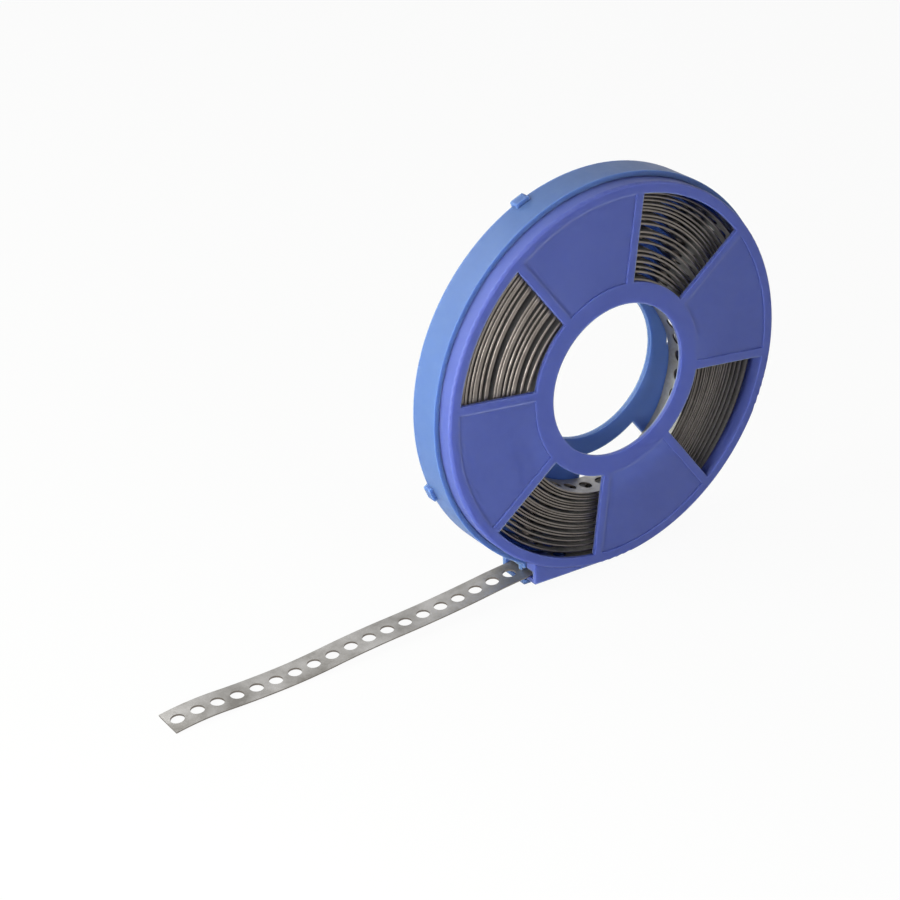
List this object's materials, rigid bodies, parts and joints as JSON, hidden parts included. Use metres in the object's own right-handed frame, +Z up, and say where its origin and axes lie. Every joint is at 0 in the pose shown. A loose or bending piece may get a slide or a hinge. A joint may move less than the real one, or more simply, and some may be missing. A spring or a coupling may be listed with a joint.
{
  "type": "perforated steel strap in a dispenser",
  "caption": "Round-hole perforated steel strap, wound as a coil in a two-part moulded dispenser, with a wavy free tail that leaves through a spout at its foot.",
  "frame": {"origin": "centre of the hub hole, midway through the dispenser's depth", "axes": "+Z up with the dispenser standing on its edge; the hub's axis lies along Y with the front cover towards -Y, and the strap's tail leaves towards -X"},
  "size_m": [0.2479, 0.0186, 0.1442],
  "materials": {
    "drum_plastic": "satin moulded blue",
    "cover_plastic": "satin moulded blue",
    "strap_steel": "bright zinc-coated strip"
  },
  "bodies": {
    "root": {"drum": "drum_plastic", "front_cover": "cover_plastic", "strap": "strap_steel"}
  },
  "joints": []
}
